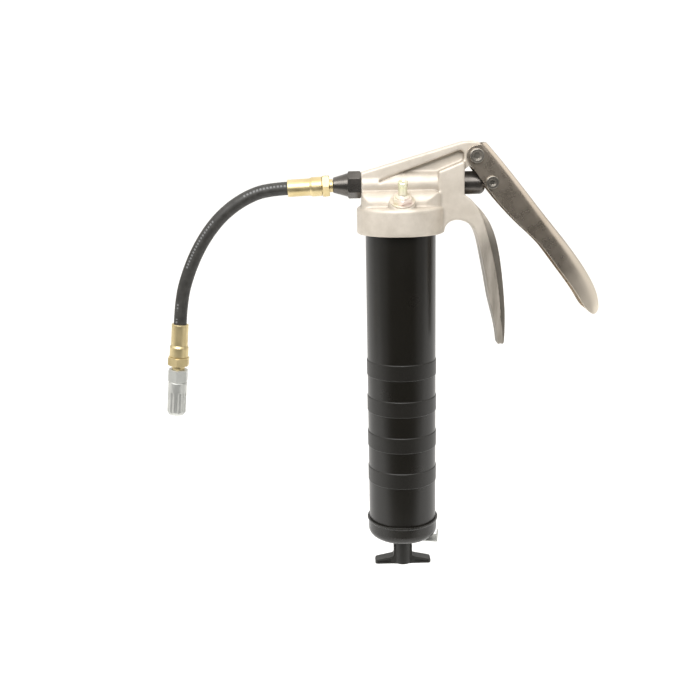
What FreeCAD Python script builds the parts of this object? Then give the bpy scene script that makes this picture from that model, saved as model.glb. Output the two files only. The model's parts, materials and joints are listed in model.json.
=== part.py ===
import FreeCAD, Part
import math
import os

# Pistol-grip grease gun for 400 g cartridges, millimetres, +Z up.
# The origin is on the barrel's axis at the lower face of the head's collar.
# +X points to the lever, -X to the outlet, and the side with the filler nipple faces -Y.

V = FreeCAD.Vector

# Barrel, bands and end cap
BARREL_R = 28.5
BARREL_WALL = 1.2
BARREL_TOP = 13.0
BARREL_BOTTOM = -252.0
BAND_COUNT = 4
BAND_TOP = -104.4
BAND_HEIGHT = 13.6
BAND_PITCH = 31.0
BAND_RISE = 0.5
CAP_TOP = -245.0
CAP_FLOOR = -262.0
CAP_R = 29.4
CAP_LIP_R = 30.3
CAP_SHEET = 0.8
CAP_CORNER = 7.5

# Head casting
COLLAR_R = 35.3
COLLAR_H = 21.7
COLLAR_BORE_DEPTH = 15.0
HEAD_LEFT = -31.5
PUMP_Z = 39.2
PUMP_BOSS_R = 10.5
PUMP_BORE_R = 4.8
BORE_END = -8.0
INLET_X = -1.0
INLET_R = 3.0
SHOULDER_RIGHT = 34.0
SHOULDER_HALF = 19.0
SHOULDER_TOP = 34.0
SHOULDER_BACK_CORNER = 6.5
SHOULDER_FRONT_CORNER = 16.0
BLOCK_LEFT = 30.0
BLOCK_RIGHT = 50.4
BLOCK_HALF = 11.5
ARM_HALF = 9.2
WEB_HALF = 4.2
EYE_R = 9.5
CREASE_HALF = 7.5
CREASE_T = 1.6
GRIP_HALF = 11.5
GRIP_SIDE_WALL = 3.0
GRIP_PALM_WALL = 5.0
RIB_HALF = 3.2

# Outlet side: check valve and adapter
SEAT_X = -15.0
SEAT_R = 2.2
CHECK_BALL_R = 3.0
CHAMBER_R = 3.6
ADAPTER_SPIGOT_R = 7.0
ADAPTER_SPIGOT_END = -21.0
ADAPTER_HEX_AF = 18.8
ADAPTER_HEX_END = -42.3
ADAPTER_END = -54.0
ADAPTER_TIP_R = 6.0

# Lever and its pins
FULCRUM = (59.7, 60.8)
PUSH_PIN = (72.2, 39.8)
LEVER_HALF = 12.0
SHEET = 1.8
LEVER_END_R = 8.0
TOP_ROUND = 5.2
TIP_ROUND = 11.0
FULCRUM_R = 4.0
PUSH_BOLT_R = 2.5
SPACER_R = 4.0
RUNNING_GAP = 0.05

# Plunger and its cap
PLUNGER_R = 4.75
PLUNGER_TIP = 4.0
GUIDE_CAP_R = 9.2
GUIDE_CAP_BORE = 7.6
GUIDE_CAP_MOUTH = 47.0
GUIDE_CAP_FLOOR = 63.0
GUIDE_CAP_NOSE = 67.9
GUIDE_POCKET_X = 39.0
GLAND_X = 31.0
GLAND_R = 7.2
SEAL_T = 3.5

# Filler nipple, leaning forward
FILLER_LEAN = 27.0
FILLER_SEAT = (0.0, -24.6, 26.9)
FILLER_BOSS_R = 10.3
FILLER_BOSS_DEPTH = 16.0
FILLER_HEX_AF = 14.0
FILLER_HEX_T = 4.0
FILLER_FLANGE_R = 9.8
FILLER_FLANGE_T = 1.2
FILLER_STEM_R = 3.5
FILLER_HEAD_R = 3.9
FILLER_MOUTH_R = 2.6
FILLER_DUCT_R = 1.1
FILLER_LENGTH = 18.6
FILLER_BALL_R = 1.6
FILLER_BORE_R = 2.1
FILLER_SPRING_LENGTH = 8.0

# Hose and its crimped ends
HOSE_R = 5.35
HOSE_ROUTE = [
    (-90.4, 37.4),
    (-107.0, 36.7),
    (-123.0, 31.3),
    (-139.0, 21.3),
    (-152.5, 8.0),
    (-164.5, -9.5),
    (-174.0, -29.5),
    (-180.9, -51.0),
    (-183.0, -71.9),
]
ARC_SHARE = 0.45
FERRULE_LENGTH = 27.6
FERRULE_R = 6.9
FERRULE_SWELL_R = 7.7
BARB_R = 3.3

# Coupler, along the lower hose end's axis from the hose's end face
COUPLER_START = 38.5
COUPLER_SPLIT = 49.0
COUPLER_END = 77.6
COUPLER_HEX_AF = 15.0
COUPLER_SLEEVE_R = 7.7
COUPLER_BORE_R = 6.2
COUPLER_MOUTH_R = 3.4
FLUTES = 8
FLUTE_R = 3.0
FLUTE_DEPTH = 0.5
FLUTE_SETBACK = 9.0

# Follower, rod and T-handle
FOLLOWER_TOP = 2.0
ROD_R = 3.2
ROD_TOP = 9.0
ROD_BOTTOM = -281.0
STEM_R = 7.9
STEM_TOP = -268.4
HANDLE_SPAN = 24.3
HANDLE_BOTTOM = -289.6
HANDLE_HALF = 5.0
WING_ROOT = -282.0
WING_TIP = -285.4
WING_RISE = 0.9
WING_CORNER = 2.5
WING_POCKET_DEPTH = 1.2
WING_POCKET_RIM = 1.1
HANDLE_PIN_R = 1.25
HANDLE_PIN_Z = -273.9
SPRING_TURNS = 16
SPRING_WIRE_R = 0.9
SPRING_R = 20.0

# Rod lock plate, pointing to the right and a little forward, and hanging open at rest
PLATE_ANGLE = -8.0
PLATE_TILT = 1.5
PLATE_TOP = -263.8
PLATE_T = 1.2
PLATE_HALF = 7.0
PLATE_REACH = 30.6
PLATE_RIVET = -12.6
PLATE_HINGE = -18.6
PLATE_HEM_R = 1.1
PLATE_LIP = 5.6
BUSH_FACE = -262.6
BUSH_FLANGE_R = 7.2
BUSH_R = 5.95
CAP_HOLE_R = 6.0
RIVET_R = 2.0
LOCK_SPRING_R = 4.6

nodes = {}


def placed(shape, origin, direction):
    """Turn a shape built along +Z so that it points along direction from origin."""
    turn = FreeCAD.Rotation(V(0, 0, 1), V(*direction))
    return shape.transformed(FreeCAD.Placement(V(*origin), turn).toMatrix(), True)


def rod(radius, start, end):
    """A cylinder between two points."""
    start, end = V(*start), V(*end)
    return Part.makeCylinder(radius, (end - start).Length, start, end - start)


def rod_x(radius, x0, x1, z=PUMP_Z):
    return rod(radius, (x0, 0, z), (x1, 0, z))


def rod_y(radius, y0, y1, at):
    return rod(radius, (at[0], y0, at[1]), (at[0], y1, at[1]))


def rod_z(radius, z0, z1):
    return rod(radius, (0, 0, z0), (0, 0, z1))


def hexagon(across_flats, length, turn=0.0):
    """A hexagonal prism on the Z axis, from z = 0 up."""
    corner_r = across_flats / math.sqrt(3.0)
    corners = []
    for step in range(7):
        angle = math.radians(60.0 * step + turn)
        corners.append(V(corner_r * math.cos(angle), corner_r * math.sin(angle), 0))
    return Part.Face(Part.makePolygon(corners)).extrude(V(0, 0, length))


def rounded_hexagon(across_flats, length, turn=0.0):
    """A hexagonal prism with its corners turned off at both ends."""
    corner_r = across_flats / math.sqrt(3.0)
    flat_r = across_flats / 2.0
    drop = (corner_r - flat_r) * 0.6
    turned = turned_profile([(0, 0), (flat_r, 0), (corner_r, drop), (corner_r, length - drop),
                             (flat_r, length), (0, length)])
    return hexagon(across_flats, length, turn).common(turned)


def rounded_loop(corners, plane):
    """A closed wire of lines, with an arc at each corner that gives a radius."""
    points = []
    count = len(corners)
    for index, corner in enumerate(corners):
        here = V(corner[0], corner[1], 0)
        radius = corner[2] if len(corner) > 2 else 0.0
        if radius == 0.0:
            points.append((here, None, here))
            continue
        before = V(*corners[index - 1][:2], 0)
        after = V(*corners[(index + 1) % count][:2], 0)
        back = (before - here).normalize()
        ahead = (after - here).normalize()
        half = back.getAngle(ahead) / 2.0
        reach = radius / math.tan(half)
        toward = (back + ahead).normalize()
        middle = here + toward * (radius / math.sin(half) - radius)
        points.append((here + back * reach, middle, here + ahead * reach))
    edges = []
    for index, (start, middle, end) in enumerate(points):
        if middle is not None:
            edges.append(Part.Arc(plane(start), plane(middle), plane(end)).toShape())
        following = points[(index + 1) % count][0]
        if (following - end).Length > 1e-6:
            edges.append(Part.makeLine(plane(end), plane(following)))
    return Part.Wire(edges)


def top_plane(point):
    """The plan view: the outline's first number is X and its second is Y."""
    return V(point.x, point.y, 0)


def side_plane(point):
    """The side view: the outline's first number is X and its second is Z."""
    return V(point.x, 0, point.y)


def end_plane(point):
    """The end view: the outline's first number is Y and its second is Z."""
    return V(0, point.x, point.y)


def turned_profile(corners):
    """A solid of revolution about Z, from corners given as (radius, height[, corner radius])."""
    face = Part.Face(rounded_loop(corners, side_plane))
    return face.revolve(V(0, 0, 0), V(0, 0, 1), 360)


def side_slab(wire, y0, y1):
    """A slab with a side-view outline, between two Y planes."""
    slab = Part.Face(wire).extrude(V(0, y1 - y0, 0))
    slab.translate(V(0, y0, 0))
    return slab


def curve(points):
    """A smooth edge in the side view through the points."""
    line = Part.BSplineCurve()
    line.interpolate([V(x, 0, z) for x, z in points])
    return line.toShape()


def offset_points(points, distance):
    """Side-view points moved to the right of their direction of travel."""
    moved = []
    last = len(points) - 1
    for index, (x, z) in enumerate(points):
        x0, z0 = points[max(index - 1, 0)]
        x1, z1 = points[min(index + 1, last)]
        run = math.hypot(x1 - x0, z1 - z0)
        moved.append((x + (z1 - z0) / run * distance, z - (x1 - x0) / run * distance))
    return moved


def edges_through(shape, places, reach=1.0):
    """The edges of a shape whose middle lies near one of the places."""
    found = []
    for edge in shape.Edges:
        middle = edge.valueAt((edge.FirstParameter + edge.LastParameter) / 2.0)
        if any((middle - V(*place)).Length < reach for place in places):
            found.append(edge)
    return found


def coil(radius, wire_r, length, turns):
    """A helical compression spring on the Z axis, from z = 0 up."""
    height = length - 2.0 * wire_r
    path = Part.Wire(Part.makeHelix(height / turns, height, radius).Edges)
    section = Part.Wire(Part.makeCircle(wire_r, V(radius, 0, 0), V(0, 1, 0)))
    spring = path.makePipeShell([section], True, True)
    spring.translate(V(0, 0, wire_r))
    return spring


def keep(name, shape):
    nodes[name] = shape


# ---------------------------------------------------------------- head casting

GRIP_PALM = [
    (34.5, 1.4), (37.7, 8.3), (44.5, 10.6), (51.5, 8.9), (57.5, 4.2), (61.2, -3.5), (64.4, -17.0),
    (68.2, -36.0), (71.6, -55.0), (75.8, -72.0), (79.2, -93.5),
]
GRIP_EDGE = [
    (50.4, 30.5), (62.0, 18.6), (68.6, 1.0), (73.8, -18.5), (77.9, -39.0), (81.4, -65.0), (83.6, -92.0),
]
RIB_EDGE = [
    (50.4, 29.6), (63.2, 19.2), (71.8, 7.5), (78.6, -11.0), (82.3, -32.0), (85.0, -57.0), (85.9, -80.0),
    (85.2, -94.0),
]


def grip_slab(edge_points, half_width):
    """One thickness of the grip, between its palm curve and an outer edge curve."""
    palm = curve(GRIP_PALM)
    outer = curve(edge_points)
    palm_start, palm_end = GRIP_PALM[0], GRIP_PALM[-1]
    outer_start, outer_end = edge_points[0], edge_points[-1]
    root = (COLLAR_R - 10.0, 1.4)
    top = (COLLAR_R - 10.0, outer_start[1])
    tip = Part.makeLine(V(palm_end[0], 0, palm_end[1]), V(outer_end[0], 0, outer_end[1]))
    over = Part.makeLine(V(outer_start[0], 0, outer_start[1]), V(top[0], 0, top[1]))
    down = Part.makeLine(V(top[0], 0, top[1]), V(root[0], 0, root[1]))
    under = Part.makeLine(V(root[0], 0, root[1]), V(palm_start[0], 0, palm_start[1]))
    wire = Part.Wire(Part.sortEdges([palm, tip, outer, over, down, under])[0])
    return side_slab(wire, -half_width, half_width)


def grip():
    """The fixed grip: a palm shell, open toward the lever, with a stiffening rib down its middle."""
    shell = grip_slab(GRIP_EDGE, GRIP_HALF)
    rib = grip_slab(RIB_EDGE, RIB_HALF)
    inside = offset_points(GRIP_PALM[4:], -GRIP_PALM_WALL)
    (x0, z0), (x1, z1) = inside[0], inside[-1]
    beyond = GRIP_EDGE[-1][0] + 20.0
    mouth = Part.makePolygon([V(x1, 0, z1), V(beyond, 0, z1), V(beyond, 0, z0), V(x0, 0, z0)])
    wire = Part.Wire(Part.sortEdges([curve(inside)] + mouth.Edges)[0])
    side_wall = GRIP_HALF - GRIP_SIDE_WALL
    shell = shell.cut(side_slab(wire, -side_wall, side_wall))
    front = rounded_loop([(-GRIP_HALF - 2, 40), (-GRIP_HALF - 2, 5), (-7.5, -96, 6), (7.5, -96, 6),
                          (GRIP_HALF + 2, 5), (GRIP_HALF + 2, 40)], end_plane)
    envelope = Part.Face(front).extrude(V(120, 0, 0))
    return shell.fuse(rib).common(envelope)


def arm():
    """The sloping arm: a flange and eye, with a thinner web inside a pocket on each side."""
    slope = rounded_loop([(HEAD_LEFT, 48.8), (50.0, 71.9, 25), (63.5, 72.2, 5), (64.5, 60.8),
                          (BLOCK_RIGHT, 50.0), (BLOCK_RIGHT, PUMP_Z), (HEAD_LEFT, PUMP_Z)], side_plane)
    body = side_slab(slope, -ARM_HALF, ARM_HALF)
    body = body.fuse(rod_y(EYE_R, -ARM_HALF, ARM_HALF, FULCRUM))
    pocket = rounded_loop([(-18.0, 42.5), (50.2, 66.6, 3.5), (50.2, 57.0, 3.5), (30.6, 49.2, 2.0),
                           (30.0, 36.0), (-18.0, 36.0)], side_plane)
    for side in (-1, 1):
        near, far = sorted((side * WEB_HALF, side * (ARM_HALF + 1.0)))
        body = body.cut(side_slab(pocket, near, far))
    return body


def crease(side):
    """The step under the arm's flange, on one side, down to the outlet end."""
    under = rounded_loop([(-17.5, 42.6), (45.0, 64.7), (45.0, 64.7 - CREASE_T), (-17.5, 42.6 - CREASE_T)],
                         side_plane)
    near, far = sorted((side * CREASE_HALF, side * (ARM_HALF + 3.0)))
    return side_slab(under, near, far)


def shoulder():
    """The body between the collar and the pump boss, with a rounded back and end."""
    section = rounded_loop([(-SHOULDER_HALF, 15.0), (-SHOULDER_HALF, SHOULDER_TOP, 9),
                            (SHOULDER_HALF, SHOULDER_TOP, 9), (SHOULDER_HALF, 15.0)], end_plane)
    bridge = Part.Face(section).extrude(V(SHOULDER_RIGHT - HEAD_LEFT, 0, 0))
    bridge.translate(V(HEAD_LEFT, 0, 0))
    flank = rounded_loop([(HEAD_LEFT, 15.0), (HEAD_LEFT, SHOULDER_TOP), (SHOULDER_RIGHT, SHOULDER_TOP, 9),
                          (SHOULDER_RIGHT, 15.0)], side_plane)
    back, front = SHOULDER_BACK_CORNER, SHOULDER_FRONT_CORNER
    plan = rounded_loop([(HEAD_LEFT, -SHOULDER_HALF, back), (SHOULDER_RIGHT, -SHOULDER_HALF, front),
                         (SHOULDER_RIGHT, SHOULDER_HALF, front), (HEAD_LEFT, SHOULDER_HALF, back)], top_plane)
    rounded = bridge.common(side_slab(flank, -SHOULDER_HALF, SHOULDER_HALF))
    return rounded.common(Part.Face(plan).extrude(V(0, 0, 60)))


def block():
    """The block that holds the gland and guides the plunger's cap."""
    side = rounded_loop([(BLOCK_LEFT, 18.0), (BLOCK_LEFT, 48.9), (BLOCK_RIGHT, 57.0, 1.5),
                         (BLOCK_RIGHT, 18.0)], side_plane)
    return side_slab(side, -BLOCK_HALF, BLOCK_HALF)


def filler_axis():
    lean = math.radians(FILLER_LEAN)
    return (0.0, -math.sin(lean), math.cos(lean))


def along(origin, direction, distance):
    return tuple(o + d * distance for o, d in zip(origin, direction))


def head_casting():
    collar = turned_profile([(0, 0), (COLLAR_R, 0, 1.5), (COLLAR_R, COLLAR_H, 2.5), (0, COLLAR_H)])
    axis = filler_axis()
    boss = rod(FILLER_BOSS_R, FILLER_SEAT, along(FILLER_SEAT, axis, -FILLER_BOSS_DEPTH))
    boss = boss.cut(Part.makeBox(60, 60, 40, V(-30, -45, -40 + COLLAR_BORE_DEPTH)))
    head = collar.fuse([shoulder(), rod_x(PUMP_BOSS_R, HEAD_LEFT, BLOCK_LEFT + 1.0), arm(), block(),
                        grip(), boss])
    spot_face = rod(FILLER_BOSS_R, FILLER_SEAT, along(FILLER_SEAT, axis, 6.0))
    head = head.cut([crease(-1), crease(1), spot_face])
    head = head.cut(rod_z(BARREL_R + RUNNING_GAP, -130.0, COLLAR_BORE_DEPTH))
    head = head.cut(rod_x(SEAT_R, SEAT_X - 1.0, PLUNGER_TIP))
    head = head.cut(rod_x(PUMP_BORE_R, BORE_END, BLOCK_RIGHT + 1.0))
    head = head.cut(rod_x(CHAMBER_R, ADAPTER_SPIGOT_END, SEAT_X))
    head = head.cut(rod_x(ADAPTER_SPIGOT_R + RUNNING_GAP, HEAD_LEFT - 1.0, ADAPTER_SPIGOT_END))
    head = head.cut(rod_x(GLAND_R + RUNNING_GAP, GLAND_X, GUIDE_POCKET_X))
    head = head.cut(rod_x(GUIDE_CAP_R + 2 * RUNNING_GAP, GUIDE_POCKET_X, BLOCK_RIGHT + 1.0))
    head = head.cut(rod(INLET_R, (INLET_X, 0, COLLAR_BORE_DEPTH - 1), (INLET_X, 0, PUMP_Z)))
    head = head.cut(rod(FILLER_STEM_R, FILLER_SEAT, along(FILLER_SEAT, axis, -7.0)))
    head = head.cut(rod(2.0, FILLER_SEAT, along(FILLER_SEAT, axis, -20.0)))
    head = head.cut(rod_y(FULCRUM_R + RUNNING_GAP, -ARM_HALF - 1, ARM_HALF + 1, FULCRUM))
    return head.removeSplitter()


def build_head():
    keep("head_casting", head_casting())
    gasket = rod_z(BARREL_R - 0.1, BARREL_TOP, COLLAR_BORE_DEPTH)
    keep("head_gasket", gasket.cut(rod_z(BARREL_R - 4.0, BARREL_TOP - 1, COLLAR_BORE_DEPTH + 1)))


# ------------------------------------------------------------------ pump parts

def build_pump():
    piston = rod_x(PLUNGER_R, PLUNGER_TIP, GUIDE_CAP_FLOOR)
    keep("plunger", piston.cut(rod_x(PLUNGER_R + 1, PLUNGER_TIP + 8, PLUNGER_TIP + 9).cut(
        rod_x(PLUNGER_R - 0.5, PLUNGER_TIP + 7, PLUNGER_TIP + 10))))
    length = GUIDE_CAP_NOSE - GUIDE_CAP_MOUTH
    floor = GUIDE_CAP_FLOOR - GUIDE_CAP_MOUTH
    cap = turned_profile([(GUIDE_CAP_BORE, 0), (GUIDE_CAP_R, 0, 0.5), (GUIDE_CAP_R, length - 1.2, 4.5),
                          (3.5, length, 0.8), (0, length), (0, floor), (GUIDE_CAP_BORE, floor)])
    keep("plunger_cap", placed(cap, (GUIDE_CAP_MOUTH, 0, PUMP_Z), (1, 0, 0)))
    seal = rod_x(GLAND_R, GLAND_X, GLAND_X + SEAL_T)
    keep("pump_seal", seal.cut(rod_x(PLUNGER_R + RUNNING_GAP, GLAND_X - 1, GUIDE_POCKET_X)))
    gland = rod_x(GLAND_R, GLAND_X + SEAL_T, GUIDE_POCKET_X)
    keep("seal_retainer", gland.cut(rod_x(PLUNGER_R + RUNNING_GAP, GLAND_X, GUIDE_POCKET_X + 1)))
    spring = coil(6.2, 0.65, GUIDE_CAP_FLOOR - GUIDE_POCKET_X, 7)
    keep("plunger_return_spring", placed(spring, (GUIDE_POCKET_X, 0, PUMP_Z), (1, 0, 0)))


def build_outlet():
    seated = math.sqrt(CHECK_BALL_R ** 2 - SEAT_R ** 2)
    ball_x = SEAT_X - seated - 0.03
    keep("outlet_check_ball", Part.makeSphere(CHECK_BALL_R, V(ball_x, 0, PUMP_Z)))
    spring_seat = -30.0
    spring_end = ball_x - CHECK_BALL_R
    spring = coil(2.4, 0.4, spring_end - spring_seat, 5)
    keep("outlet_check_spring", placed(spring, (spring_seat, 0, PUMP_Z), (1, 0, 0)))
    hex_length = HEAD_LEFT - ADAPTER_HEX_END
    nut = placed(rounded_hexagon(ADAPTER_HEX_AF, hex_length), (HEAD_LEFT, 0, PUMP_Z), (-1, 0, 0))
    cone_length = ADAPTER_HEX_END - ADAPTER_END
    cone = turned_profile([(0, 0), (ADAPTER_HEX_AF / 2, 0), (ADAPTER_TIP_R, cone_length, 0.8),
                           (0, cone_length)])
    adapter = nut.fuse([placed(cone, (ADAPTER_HEX_END, 0, PUMP_Z), (-1, 0, 0)),
                        rod_x(ADAPTER_SPIGOT_R, ADAPTER_SPIGOT_END, HEAD_LEFT)])
    adapter = adapter.cut(rod_x(CHAMBER_R, spring_seat, ADAPTER_SPIGOT_END + 1))
    adapter = adapter.cut(rod_x(1.8, ADAPTER_END - 1, spring_seat + 1))
    adapter = adapter.cut(rod_x(4.6, ADAPTER_END - 1, ADAPTER_END + 8.5))
    keep("outlet_adapter", adapter.removeSplitter())


def build_filler():
    axis = filler_axis()
    top = FILLER_LENGTH
    stem, head, hex_top = FILLER_STEM_R, FILLER_HEAD_R, FILLER_FLANGE_T + FILLER_HEX_T
    body = turned_profile([(0, -6.0), (stem - 0.05, -6.0), (stem - 0.05, 0), (FILLER_FLANGE_R, 0, 0.3),
                           (FILLER_FLANGE_R, FILLER_FLANGE_T, 0.3), (6.0, FILLER_FLANGE_T),
                           (6.0, hex_top + 0.6), (stem, hex_top + 1.6, 0.8), (stem, top - 4.6),
                           (head, top - 3.6), (head, top - 1.0), (head - 1.0, top), (FILLER_MOUTH_R, top),
                           (FILLER_DUCT_R, top - 1.5), (0, top - 1.5)])
    hexagonal = rounded_hexagon(FILLER_HEX_AF, FILLER_HEX_T, 30.0)
    hexagonal.translate(V(0, 0, FILLER_FLANGE_T))
    body = body.fuse(hexagonal)
    body = body.cut(rod_z(FILLER_BORE_R, -7.0, top - 2.4))
    body = body.cut(rod_z(FILLER_DUCT_R, -7.0, top))
    keep("filler_nipple_body", placed(body, FILLER_SEAT, axis))
    ball_s = top - 2.4 - FILLER_BALL_R - 0.3
    ball_at = along(FILLER_SEAT, axis, ball_s)
    keep("filler_nipple_ball", Part.makeSphere(FILLER_BALL_R, V(*ball_at)))
    spring = coil(1.5, 0.25, FILLER_SPRING_LENGTH, 5)
    spring_s = ball_s - FILLER_BALL_R - FILLER_SPRING_LENGTH
    keep("filler_nipple_spring", placed(spring, along(FILLER_SEAT, axis, spring_s), axis))


# ------------------------------------------------------------- lever and pins

LEVER_BACK = [
    (67.6, 70.9), (84.6, 51.2), (101.0, 31.0), (117.0, 11.0), (132.6, -8.0), (146.2, -26.0),
    (156.6, -42.5), (161.6, -54.0), (163.2, -63.0),
]
LEVER_OPEN_EDGE = [
    (67.9, 36.4), (83.9, 17.2), (98.0, 2.9), (112.2, -10.8), (122.0, -23.2), (131.0, -35.2),
    (139.6, -46.8), (147.4, -59.0),
]
LEVER_TIP = [(163.2, -63.0), (159.6, -67.8), (147.4, -59.0)]


def lever_outline():
    """The lever's side view: back, nose, open edge and the round end at the fulcrum."""
    x0, z0 = LEVER_OPEN_EDGE[0]
    reach = math.hypot(x0 - FULCRUM[0], z0 - FULCRUM[1])
    bearing = math.atan2(z0 - FULCRUM[1], x0 - FULCRUM[0])
    touch = bearing - math.acos(LEVER_END_R / reach)
    tangent = (FULCRUM[0] + LEVER_END_R * math.cos(touch), FULCRUM[1] + LEVER_END_R * math.sin(touch))
    crown = math.radians(100.0)
    middle = (touch - 2 * math.pi + crown) / 2.0 + math.pi * 2
    ends = []
    for angle in (touch, middle, crown):
        across, up = LEVER_END_R * math.cos(angle), LEVER_END_R * math.sin(angle)
        ends.append(V(FULCRUM[0] + across, 0, FULCRUM[1] + up))
    top = V(LEVER_BACK[0][0], 0, LEVER_BACK[0][1])
    edges = [curve(LEVER_BACK), curve(LEVER_TIP), curve(LEVER_OPEN_EDGE),
             Part.makeLine(V(x0, 0, z0), V(tangent[0], 0, tangent[1])),
             Part.Arc(*ends).toShape(), Part.makeLine(ends[2], top)]
    return Part.Wire(Part.sortEdges(edges)[0])


def lever_cavity():
    """The inside of the folded sheet, open toward the grip and at its top end."""
    inner = offset_points(LEVER_BACK, SHEET)
    ahead_x = inner[0][0] - inner[1][0]
    ahead_z = inner[0][1] - inner[1][1]
    run = math.hypot(ahead_x, ahead_z)
    start = (inner[0][0] + 30 * ahead_x / run, inner[0][1] + 30 * ahead_z / run)
    end = inner[-1]
    loop = [curve(inner), Part.makeLine(V(start[0], 0, start[1]), V(inner[0][0], 0, inner[0][1]))]
    far = [V(end[0], 0, end[1]), V(150.0, 0, -64.0), V(120.0, 0, -60.0), V(30.0, 0, 30.0), V(20.0, 0, 90.0),
           V(start[0], 0, start[1])]
    loop.append(Part.makePolygon(far))
    edges = [edge for piece in loop for edge in piece.Edges]
    wire = Part.Wire(Part.sortEdges(edges)[0])
    return side_slab(wire, -LEVER_HALF + SHEET, LEVER_HALF - SHEET)


def round_back(slab, points, half_width, top_radius, tip_radius):
    """Round the two long edges of a slab that follow a side-view curve, more toward its end."""
    edge = curve(points)
    middle = edge.valueAt((edge.FirstParameter + edge.LastParameter) / 2.0)
    places = [(middle.x, side * half_width, middle.z) for side in (-1, 1)]
    return slab.makeFillet(top_radius, tip_radius, edges_through(slab, places))


def build_lever():
    plate = side_slab(lever_outline(), -LEVER_HALF, LEVER_HALF)
    plate = round_back(plate, LEVER_BACK, LEVER_HALF, TOP_ROUND, TIP_ROUND)
    cavity = lever_cavity()
    cavity = round_back(cavity, offset_points(LEVER_BACK, SHEET), LEVER_HALF - SHEET,
                        TOP_ROUND - SHEET, TIP_ROUND - SHEET)
    lever = plate.cut(cavity)
    lever = lever.cut(rod_y(FULCRUM_R + RUNNING_GAP, -20, 20, FULCRUM))
    lever = lever.cut(rod_y(PUSH_BOLT_R + RUNNING_GAP, -20, 20, PUSH_PIN))
    keep("lever", lever)
    keep("fulcrum_bolt", pivot_bolt(FULCRUM, FULCRUM_R, 5.9, 2.6, 2.6))
    keep("fulcrum_nut", pivot_nut(FULCRUM, FULCRUM_R, 10.0, 3.6))
    washers = []
    for side in (-1, 1):
        inner = side * (ARM_HALF + 0.05)
        outer = side * (LEVER_HALF - SHEET - 0.1)
        ring = rod_y(7.0, inner, outer, FULCRUM).cut(rod_y(FULCRUM_R + RUNNING_GAP, -20, 20, FULCRUM))
        washers.append(ring)
    keep("fulcrum_washers", Part.makeCompound(washers))
    keep("push_bolt", pivot_bolt(PUSH_PIN, PUSH_BOLT_R, 5.3, 2.2, 1.8))
    keep("push_bolt_nut", pivot_nut(PUSH_PIN, PUSH_BOLT_R, 8.0, 3.2))
    spacer_half = LEVER_HALF - SHEET - 0.02
    spacer = rod_y(SPACER_R, -spacer_half, spacer_half, PUSH_PIN)
    keep("push_spacer", spacer.cut(rod_y(PUSH_BOLT_R + RUNNING_GAP, -20, 20, PUSH_PIN)))


def pivot_bolt(at, radius, head_r, head_t, key_r):
    """A round-headed bolt along Y, with a key socket in its head on the near side."""
    head = turned_profile([(0, 0), (head_r, 0), (head_r, head_t, 0.9), (key_r + 1.0, head_t, 0.3),
                           (key_r + 0.6, head_t - 0.5), (0, head_t - 0.5)])
    head = head.cut(Part.makeCylinder(key_r, head_t, V(0, 0, head_t - 1.6)))
    face = -LEVER_HALF - 0.1
    bolt = placed(head, (at[0], face, at[1]), (0, -1, 0))
    return bolt.fuse(rod_y(radius, face, LEVER_HALF + 4.5, at)).removeSplitter()


def pivot_nut(at, radius, across_flats, thickness):
    """A hexagon nut on the far side of the lever."""
    nut = rounded_hexagon(across_flats, thickness)
    nut = placed(nut, (at[0], LEVER_HALF + 0.1, at[1]), (0, 1, 0))
    return nut.cut(rod_y(radius, 0, 30, at))


# ------------------------------------------------------------ hose and coupler

def unit(start, end):
    dx, dz = end[0] - start[0], end[1] - start[1]
    run = math.hypot(dx, dz)
    return (dx / run, 0.0, dz / run)


def hose_tube():
    """The hose: straight runs joined by arcs as large as their runs allow."""
    points = [V(x, 0, z) for x, z in HOSE_ROUTE]
    edges = []
    radii = []
    start = points[0]
    for before, here, after in zip(points, points[1:], points[2:]):
        back, ahead = before - here, after - here
        shorter = min(back.Length, ahead.Length)
        half_turn = (math.pi - back.getAngle(ahead)) / 2.0
        reach = ARC_SHARE * shorter
        radius = reach / math.tan(half_turn)
        radii.append(round(radius, 1))
        back.normalize()
        ahead.normalize()
        inward = (back + ahead).normalize()
        middle = here + inward * (radius / math.cos(half_turn) - radius)
        edges.append(Part.LineSegment(start, here + back * reach).toShape())
        edges.append(Part.Arc(here + back * reach, middle, here + ahead * reach).toShape())
        start = here + ahead * reach
    edges.append(Part.LineSegment(start, points[-1]).toShape())
    path = Part.Wire(edges)
    section = Part.Wire(Part.makeCircle(HOSE_R, points[0], points[1] - points[0]))
    tube = path.makePipeShell([section], True, False)
    print("hose radii", radii, "length", round(path.Length, 1))
    print("hose volume", round(tube.Volume), "section times length", round(math.pi * HOSE_R ** 2 * path.Length))
    return tube


def ferrule():
    """The crimped shell: straight over the hose, then swollen toward the hexagon."""
    inner = HOSE_R + 0.05
    end = FERRULE_LENGTH
    shell = turned_profile([(BARB_R, 0.0), (FERRULE_R, 0, 0.4), (FERRULE_R, end - 10.0, 1.0),
                            (FERRULE_SWELL_R, end - 8.0, 1.0), (FERRULE_SWELL_R, end, 0.5), (BARB_R, end)])
    return shell.cut(rod_z(inner, 2.0, end - 3.0))


def nipple(hex_af, hex_start, hex_end, neck_end, spigot_end, spigot_r):
    """The barbed insert with its hexagon and its threaded spigot."""
    barb = turned_profile([(0, 1.0), (2.7, 1.0), (BARB_R - 0.05, 4.0), (2.9, 4.2), (BARB_R - 0.05, 9.0),
                           (2.9, 9.2), (BARB_R - 0.05, 14.0), (2.9, 14.2), (2.9, hex_start), (5.2, hex_start),
                           (5.2, neck_end), (spigot_r, neck_end), (spigot_r, spigot_end, 0.6),
                           (0, spigot_end)])
    hexagonal = rounded_hexagon(hex_af, hex_end - hex_start, 30.0)
    hexagonal.translate(V(0, 0, hex_start))
    return barb.fuse(hexagonal).cut(rod_z(1.6, 0, spigot_end + 1))


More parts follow.
